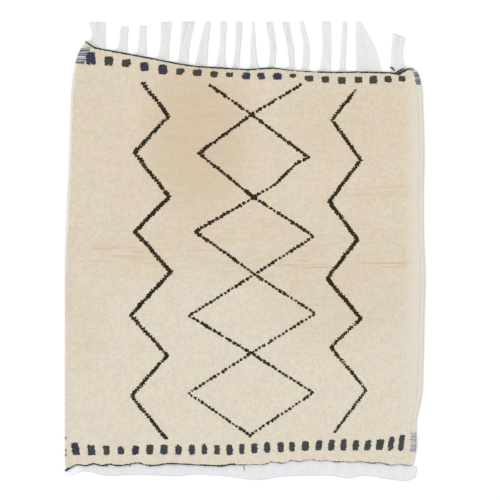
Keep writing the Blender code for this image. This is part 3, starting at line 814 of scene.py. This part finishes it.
def tube_faces(tubes, stations, sides):
    """Side quads and the two end faces of that many closed tubes."""
    ring = np.arange(sides)
    ahead = (ring + 1) % sides
    row = np.arange(stations - 1)[:, None] * sides
    skin = np.stack([row + ring, row + ring + sides, row + ahead + sides, row + ahead], axis=-1)
    first = np.arange(tubes)[:, None] * stations * sides
    caps = np.concatenate([first + ring, first + (stations - 1) * sides + ring[::-1]])
    return [(skin.reshape(-1, 4)[None] + first[:, :, None]).reshape(-1, 4), caps]


def tube_map(tubes, stations, sides):
    """Each tube's own strip on the bake map, unrolled between two half sides, its length up."""
    around = 0.04 + 0.92 * (0.5 - 0.5 * np.cos(np.pi * np.arange(sides) / (sides / 2)))
    across = (np.arange(tubes)[:, None, None] + around) / tubes
    along = np.linspace(0.002, 0.998, stations)[None, :, None]
    shape = (tubes, stations, sides)
    return np.stack([np.broadcast_to(across, shape), np.broadcast_to(along, shape)], axis=-1).reshape(-1, 2)


def make_yarns(name, paths, radius, flat, sides, material, slot, replaces=(), lowest=None,
               bake_map=None, **values):
    """Piece of closed yarns along the paths (n, stations, 3), as tubes squashed upwards by flat.
    The radius and the named values are broadcast to the rings; lowest, if given, is a floor
    that no point goes under."""
    shape = (*paths.shape[:2], sides)
    points = tube_points(paths, np.broadcast_to(radius, shape), flat, sides)
    if lowest is not None:
        points[..., 2] = np.maximum(points[..., 2], lowest)
    values = {key: np.broadcast_to(value, shape) for key, value in {"reach": 1.0, **values}.items()}
    return make_piece(name, points.reshape(-1, 3), tube_faces(*shape), material, replaces,
                      values, bake_map)


def make_yarn_material(name, tone, other, contrast, roughness=0.9, sheen=0.10, paler=None):
    """Plain wool or cotton yarn with the shared drift of colour and fibre grain. A paler tone
    takes over along the upper half of the rug."""
    material, tree, shader = new_material(name, roughness, sheen=sheen)
    place, split = object_place(tree)
    # 0.88 is painted shade where reach is below 1, which only the selvedges have, in the grooves between
    # their wraps.
    yarn = wool(tree, place, tone, other, contrast, 0.88, 12.0)
    colour = yarn.outputs["Color"]
    if paler:
        colour = blend(tree, remap(tree, split["Y"], -0.15, 0.05, 0.0, 0.9), colour, paler)
    tree.links.new(colour, shader.inputs["Base Color"])
    add_bump(tree, shader, yarn.outputs["Fibre"], 0.4, 0.0005)
    return material


def make_selvedge(name, edge, width, inward, material):
    """One selvedge: a squashed tube along its edge whose wraps are ridges, the absolute sine
    of the length over the pitch, slanted a little round the edge. Painted shade darkens the
    grooves between the wraps."""
    stations, sides = 1100, 12
    low, high = edge[0].along + (0.016 if inward > 0 else 0.004), edge[-1].along - 0.004
    y = np.linspace(low, high, stations)
    middle = curve_through(edge, y) + inward * width / 2
    path = np.stack([middle, y, np.full(stations, SELVEDGE_MIDDLE)], axis=-1)[None]
    angle = 2 * np.pi * np.arange(sides) / sides
    wrap = np.abs(np.sin(np.pi * (y[:, None] + 0.0008 * np.cos(angle)) / WRAP_PITCH))
    ends = np.clip(np.minimum(y - low, high - y) / 0.02, 0, 1)[:, None] ** 0.5
    radius = 0.5 * width * (0.95 + 0.05 * wrap) * (0.5 + 0.5 * ends)
    # The reach is lowest in the grooves between the wraps, so the wool group paints shade into them.
    return make_yarns(name, path, radius, SELVEDGE_HEIGHT / width, sides, material,
                      "selvedge_wool_ivory", [name], 0.0006, reach=0.4 + 0.6 * wrap,
                      yarn=(np.floor(y / WRAP_PITCH) * 0.618 % 1)[:, None])


SELVEDGE_MIDDLE = 0.0062
SELVEDGE_HEIGHT = 0.0114
left_wool = make_yarn_material("selvedge_wool_left", (0.683, 0.606, 0.506), (0.666, 0.584, 0.476), 0.05,
                              paler=(0.705, 0.655, 0.582))
right_wool = make_yarn_material("selvedge_wool_right", (0.722, 0.680, 0.598), (0.708, 0.660, 0.572), 0.05)
selvedges = [make_selvedge("selvedge_left", LEFT_EDGE, SELVEDGE_WIDTH_LEFT, 1, left_wool),
             make_selvedge("selvedge_right", RIGHT_EDGE, SELVEDGE_WIDTH_RIGHT, -1, right_wool)]

# Where the borders meet the side edges, grey-blue yarn is wound over the selvedge in a few
# places: how far it reaches in, from and up to where, and the share of pale loops in it.
Winding = namedtuple("Winding", "edge inward reach low high pale")
WINDINGS = [Winding(*row) for row in (
    (LEFT_EDGE, 1, 0.046, 0.828, 0.892, 0.25), (RIGHT_EDGE, -1, 0.026, 0.738, 0.799, 0.25),
    (RIGHT_EDGE, -1, 0.030, -0.880, -0.797, 0.62), (LEFT_EDGE, 1, 0.007, -0.825, -0.817, 0),
    (LEFT_EDGE, 1, 0.007, -0.881, -0.873, 0), (LEFT_EDGE, 1, 0.007, -0.900, -0.892, 0))]


def surface_height(x, y):
    """Height of what lies under a place: the pile's falling edge or the selvedge's round top,
    whichever is higher."""
    inside = np.clip(edge_distance(x, y) / PILE_SHOULDER, 0, 1)
    rise = np.sqrt(1 - (1 - inside) ** 2)
    pile = 0.0055 + (PILE_TOP - 0.0055) * rise
    for edge, width, inward in ((LEFT_EDGE, SELVEDGE_WIDTH_LEFT, 1), (RIGHT_EDGE, SELVEDGE_WIDTH_RIGHT, -1)):
        off = np.clip(2 * (x - curve_through(edge, y) - inward * width / 2) / width, -1, 1)
        pile = np.maximum(pile, SELVEDGE_MIDDLE + 0.5 * SELVEDGE_HEIGHT * np.sqrt(1 - off ** 2))
    return pile


def make_windings(material):
    """The loops of all windings as one mesh, each a yarn laid across the edge on what lies
    under it, with a slight slant."""
    share = np.linspace(0, 1, 12)
    paths, dyes = [], []
    for winding in WINDINGS:
        loops = max(2, int(round((winding.high - winding.low) / 0.0031)))
        y = np.linspace(winding.low, winding.high, loops)[:, None] + random.normal(0, 0.0006, (loops, 1))
        y = y + random.normal(0, 0.0026, (loops, 1)) * (share - 0.5)
        reach = winding.reach * random.uniform(0.86, 1.0, (loops, 1))
        x = curve_through(winding.edge, y) + winding.inward * (0.0015 + share * (reach - 0.0015))
        z = surface_height(x, y) + 0.0022 - 0.003 * (2 * share - 1) ** 8
        paths.append(np.stack([x, y, z], axis=-1))
        dyes.append(np.where(random.random(loops) < winding.pale, 1.0, random.uniform(0, 0.7, loops)))
    paths, dyes = np.concatenate(paths), np.concatenate(dyes)
    return make_yarns("corner_windings", paths, 0.0027, 0.7, 6, material, "wool_dark",
                      yarn=random.random((len(paths), 1, 1)), dye=dyes[:, None, None])


winding_wool = make_dark_material("winding_wool", [
    (0.0, (0.07, 0.08, 0.11)), (0.5, (0.27, 0.28, 0.31)), (1.0, (0.56, 0.55, 0.57))], 0.6)
windings = make_windings(winding_wool)

# ---------------------------------------------------------------- twined cords
# Two plies of dark wool twined round the warps where the pile stops, one row at each end.
# Their thickness changes along the way, and some of the yarn's ends lie loose.
PLY_RADIUS = 0.0016
PLY_OFFSET = 0.0013
TWIST_PITCH = 0.0105
CORD_LEVEL = 0.0100
UPPER_SIZE = [Stop(*row) for row in (
    (-0.704, 1.25), (-0.507, 1.20), (-0.500, 0.35), (-0.493, 1.15), (0.125, 1.20), (0.140, 0.80),
    (0.290, 0.70), (0.298, 0.12), (0.314, 0.12), (0.322, 1.15), (0.640, 1.20), (0.665, 1.35),
    (0.690, 1.50), (0.715, 1.25), (0.735, 0.80))]
LOWER_SIZE = [Stop(*row) for row in (
    (-0.793, 1.95), (-0.045, 1.80), (-0.036, 1.00), (-0.006, 0.80), (0.002, 0.40), (0.070, 0.40),
    (0.078, 1.20), (0.099, 1.20), (0.105, 0.60), (0.138, 0.60), (0.143, 1.05), (0.174, 1.05),
    (0.180, 0.55), (0.370, 0.55), (0.376, 1.00), (0.438, 1.00), (0.444, 0.50), (0.460, 0.50),
    (0.466, 0.95), (0.583, 0.95), (0.590, 0.50), (0.614, 0.50), (0.620, 0.90), (0.658, 0.90),
    (0.665, 0.50), (0.735, 0.25))]


def make_twining(name, stops, sizes, dye, material):
    """Two plies as helices of opposite phase round the cord's line; the size scales both the
    plies and the helix."""
    x = np.linspace(stops[0].along + 0.002, stops[-1].along - 0.002, 900)
    y = curve_through(stops, x)
    size = np.interp(x, [stop.along for stop in sizes], [stop.across for stop in sizes])
    size = size * (1 + 0.14 * slow_swell(x, y, 21, 0.05))
    length = np.concatenate([[0], np.cumsum(np.hypot(np.diff(x), np.diff(y)))])
    phase = 2 * np.pi * length / TWIST_PITCH + np.array([0, np.pi])[:, None]
    paths = np.stack([x + 0 * phase, y + size * PLY_OFFSET * np.cos(phase),
                      CORD_LEVEL + size * PLY_OFFSET * np.sin(phase)], axis=-1)
    tint = np.interp(x, [-0.06, -0.02], [dye, 1.0]) if dye < 0.5 else np.full(len(x), dye)
    return make_yarns(name, paths, (size * PLY_RADIUS)[:, None], 1.0, 6, material, "wool_dark", [name],
                      0.0004, yarn=np.array([0.35, 0.65])[:, None, None], dye=tint[:, None])


# Loose ends of the cords' yarn: the bunch at the upper cord's right end with a stray knot
# above its start, three barbs and a dropped thread at the lower cord.
End = namedtuple("End", "x0 y0 x1 y1 radius z dye")
LOOSE_ENDS = [End(*row) for row in (
    (0.654, 0.783, 0.722, 0.805, 0.0021, 0.0085, 0.6), (0.656, 0.779, 0.730, 0.800, 0.0023, 0.0070, 0.4),
    (0.668, 0.792, 0.702, 0.806, 0.0018, 0.0068, 0.8), (0.668, 0.777, 0.738, 0.809, 0.0018, 0.0060, 0.5),
    (0.676, 0.784, 0.706, 0.793, 0.0026, 0.0095, 0.5),
    (0.638, 0.811, 0.660, 0.795, 0.0024, 0.0065, 0.7), (0.642, 0.812, 0.657, 0.800, 0.0020, 0.0085, 0.7),
    (-0.606, -0.937, -0.609, -0.951, 0.0017, 0.0050, 0.1),
    (-0.505, -0.936, -0.508, -0.949, 0.0016, 0.0050, 0.1),
    (-0.417, -0.941, -0.420, -0.953, 0.0015, 0.0050, 0.1),
    (-0.0067, -0.9376, -0.0036, -0.969, 0.0011, 0.0062, 1.0))]


def make_loose_ends(material):
    """The loose ends as one mesh of short tapered yarns, each with a slight bow."""
    share = np.linspace(0, 1, 10)
    ends = {key: np.array([getattr(end, key) for end in LOOSE_ENDS])[:, None] for key in End._fields}
    bow = 0.0016 * np.sin(np.pi * share)
    paths = np.stack([ends["x0"] + (ends["x1"] - ends["x0"]) * share,
                      ends["y0"] + (ends["y1"] - ends["y0"]) * share + bow,
                      ends["z"] + bow], axis=-1)
    taper = 0.35 + 0.65 * np.sin(np.pi * (0.12 + 0.76 * share)) ** 0.6
    return make_yarns("loose_ends", paths, (ends["radius"] * taper)[..., None], 0.9, 6, material,
                      "wool_dark", yarn=0.5, dye=ends["dye"][..., None])


cord_wool = make_dark_material("cord_wool", [
    (0.0, (0.030, 0.034, 0.070)), (0.5, (0.045, 0.045, 0.050)), (1.0, (0.070, 0.066, 0.066))], 0.5)
twinings = [make_twining("twining_upper", UPPER_CORD, UPPER_SIZE, 0.6, cord_wool),
            make_twining("twining_lower", LOWER_CORD, LOWER_SIZE, 0.1, cord_wool)]
loose_ends = make_loose_ends(cord_wool)

# ---------------------------------------------------------------- warp fringe
# The rug's own white cotton warps, left long beyond the upper cord, drawn together into loose
# flat bundles and cut level. A few woven picks hold them right behind the cord.
Bundle = namedtuple("Bundle", "base_x base_w mid_x mid_w tip_x tip_w tip_y")
BUNDLES = [Bundle(*row) for row in (
    (-0.649, 0.066, -0.646, 0.062, -0.652, 0.074, 1.012),
    (-0.541, 0.042, -0.537, 0.035, -0.531, 0.034, 0.993),
    (-0.454, 0.046, -0.452, 0.033, -0.450, 0.031, 0.995),
    (-0.360, 0.048, -0.353, 0.039, -0.348, 0.048, 1.012),
    (-0.273, 0.044, -0.266, 0.041, -0.250, 0.058, 1.014),
    (-0.195, 0.050, -0.183, 0.039, -0.164, 0.023, 1.012),
    (-0.107, 0.045, -0.100, 0.023, -0.095, 0.027, 1.014),
    (-0.040, 0.028, -0.032, 0.022, -0.025, 0.025, 1.012),
    (0.041, 0.033, 0.036, 0.023, 0.035, 0.008, 1.011), (0.116, 0.028, 0.123, 0.027, 0.106, 0.031, 1.013),
    (0.208, 0.025, 0.200, 0.027, 0.180, 0.029, 1.012), (0.262, 0.030, 0.271, 0.027, 0.249, 0.018, 1.013),
    (0.352, 0.048, 0.360, 0.038, 0.357, 0.040, 1.014), (0.427, 0.026, 0.434, 0.021, 0.439, 0.019, 1.012),
    (0.548, 0.114, 0.533, 0.093, 0.501, 0.022, 1.013), (0.675, 0.062, 0.670, 0.052, 0.679, 0.053, 0.954))]
BUNDLE_MIDDLE = 0.45
STRAND_RADIUS = 0.0015
STRAND_SPACING = 0.0021
GATHER = 0.0085


def make_fringe(material):
    """All warp ends as one mesh. Strand s of a bundle leaves the cord at its own share of the
    bundle's part of the cord, is drawn in to the bundle's width as exp(-(distance / GATHER)^2), and
    runs on with a small wander of its own, in two layers that crown in the middle."""
    rows = np.linspace(0, 1, 20) ** 1.5
    feet = [UPPER_CORD[0].along + 0.002]
    for one, two in zip(BUNDLES, BUNDLES[1:]):
        feet.append(0.5 * (one.base_x + one.base_w / 2 + two.base_x - two.base_w / 2))
    feet.append(UPPER_CORD[-1].along - 0.002)
    paths = []
    for bundle, left, right in zip(BUNDLES, feet, feet[1:]):
        marks = [0.0, BUNDLE_MIDDLE, 1.0]
        centre = curve_through(list(map(Stop, marks, (bundle.base_x, bundle.mid_x, bundle.tip_x))), rows)
        width = curve_through(list(map(Stop, marks, (bundle.base_w, bundle.mid_w, bundle.tip_w))), rows)
        ends = int(round(bundle.base_w / STRAND_SPACING * 1.6)) + 6
        share = (np.arange(ends) + random.uniform(-0.3, 0.3, ends)) / (ends - 1) - 0.5
        share = np.clip(share, -0.5, 0.5)[:, None]
        wander = random.normal(0, 0.0009, (ends, 1)) * np.sin(
            rows * random.uniform(3, 8, (ends, 1)) + random.uniform(0, 6, (ends, 1)))
        foot_x = left + (right - left) * (share + 0.5)
        foot = curve_through(UPPER_CORD, foot_x) + 0.0005
        slant = -0.010 if bundle.tip_y < 0.96 else 0.0
        tip = bundle.tip_y + 2 * slant * share - random.uniform(0, 0.0022, (ends, 1))
        y = foot + (tip - foot) * rows
        body = centre + width * share * 0.94 + wander * np.sqrt(rows)
        x = body + (foot_x - body) * np.exp(-((y - foot) / GATHER) ** 2)
        layer = (np.arange(ends) % 2)[:, None]
        crown = np.sqrt(1 - (1.9 * share) ** 2)
        z = 0.0019 + layer * 0.0018 * crown * (1 - 0.4 * rows) + 0.0004 * np.sin(
            rows * 9 + random.uniform(0, 6, (ends, 1))) * layer
        paths.append(np.stack([x, y, z + 0 * x], axis=-1))
    paths = np.concatenate(paths)
    radius = (STRAND_RADIUS * np.clip((1.02 - rows) / 0.03, 0.6, 1))[:, None]
    return make_yarns("fringe", paths, radius, 0.9, 5, material, "cotton_warp_white", ["fringe"],
                      0.0003, bake_map=tube_map(*paths.shape[:2], 5), yarn=random.random((len(paths), 1, 1)))


def make_heading(material):
    """The woven picks behind the upper cord: four yarns side by side that follow it."""
    pick = np.arange(4)[:, None]
    x = np.linspace(UPPER_CORD[0].along + 0.003, UPPER_CORD[-1].along - 0.003, 180)
    away = 0.0022 + 0.0017 * pick
    y = curve_through(UPPER_CORD, x) + away
    z = 0.0042 - 0.25 * away + 0.0005 * np.sin(2 * np.pi * x / 0.008 + np.pi * pick)
    paths = np.stack([x + 0 * y, y, z], axis=-1)
    return make_yarns("fringe_heading", paths, 0.0012, 0.8, 5, material, "cotton_warp_white",
                      yarn=0.5)


fringe_cotton = make_yarn_material("fringe_cotton", (0.785, 0.785, 0.778), (0.770, 0.770, 0.764), 0.05,
                                   roughness=0.8, sheen=0.05)
fringe = make_fringe(fringe_cotton)
heading = make_heading(fringe_cotton)

# ---------------------------------------------------------------- end band
# The plain woven end beyond the lower cord: a narrow strip of white cotton cloth that the
# weaver began with. It puckers where the pile behind it draws in, and its hem is uneven.
HEM = [Stop(*row) for row in (
    (-0.793, -0.984), (-0.768, -0.987), (-0.737, -0.975), (-0.705, -0.971), (-0.673, -0.974),
    (-0.636, -0.986), (-0.605, -0.9895), (-0.515, -0.986), (-0.430, -0.986), (-0.3565, -0.989),
    (-0.304, -0.991), (-0.261, -0.987), (-0.208, -0.983), (-0.145, -0.987), (-0.0925, -0.991),
    (-0.040, -0.997), (0.042, -1.008), (0.163, -0.993), (0.292, -0.988), (0.374, -0.988),
    (0.458, -1.000), (0.517, -0.989), (0.625, -1.003), (0.700, -1.011), (0.719, -1.010),
    (0.738, -1.003), (0.752, -0.988), (0.756, -0.970))]
BAND_CLOTH = 0.0018
BAND_RIGHT = 0.756


def make_band_material():
    """Bleached cotton in a fine plain weave with a faint cool tone, whiter at the left end."""
    material, tree, shader = new_material("band_cotton", 0.8, sheen=0.05)
    place, split = object_place(tree)
    tone = blend(tree, noise(tree, place, Scale=26.0, Detail=3.0), (0.71, 0.71, 0.735), (0.76, 0.76, 0.785))
    white = blend(tree, remap(tree, split["X"], -0.70, -0.77), tone, (0.90, 0.90, 0.91))
    tree.links.new(white, shader.inputs["Base Color"])
    add_bump(tree, shader, weave_height(tree, place, 620.0), 0.4, 0.0004)
    return material


def make_end_band():
    """The band as a thin slab: pleats run up from the hem and fade out at the cord, their
    height the sum of two sine waves along x."""
    columns, rows = 480, 18
    x = np.linspace(LOWER_CORD[0].along, BAND_RIGHT, columns)
    v = np.linspace(0, 1, rows)[:, None]
    y = curve_through(HEM, x) * (1 - v) + (curve_through(LOWER_CORD, x) - 0.001) * v
    drift = x + 0.010 * np.sin(2.5 * v + 9 * x)
    pleat = 0.5 + 0.5 * np.sin(2 * np.pi * drift / 0.061 + 1.9 * np.sin(8 * x))
    small = 0.5 + 0.5 * np.sin(2 * np.pi * drift / 0.023 + 2.3 * np.sin(17 * x))
    lift = (0.0022 * pleat ** 1.5 + 0.0009 * small) * np.sin(np.pi * (0.10 + 0.82 * v)) ** 1.2
    x = x + 0 * v
    bottom = 0.0004 + lift
    upper = np.column_stack([x.ravel(), y.ravel(), (bottom + BAND_CLOTH).ravel()])
    lower = np.column_stack([x.ravel(), y.ravel(), bottom.ravel()])
    return make_piece("end_band", np.concatenate([upper, lower]), slab_faces(columns, rows),
                      make_band_material(), ["end_band"])


end_band = make_end_band()
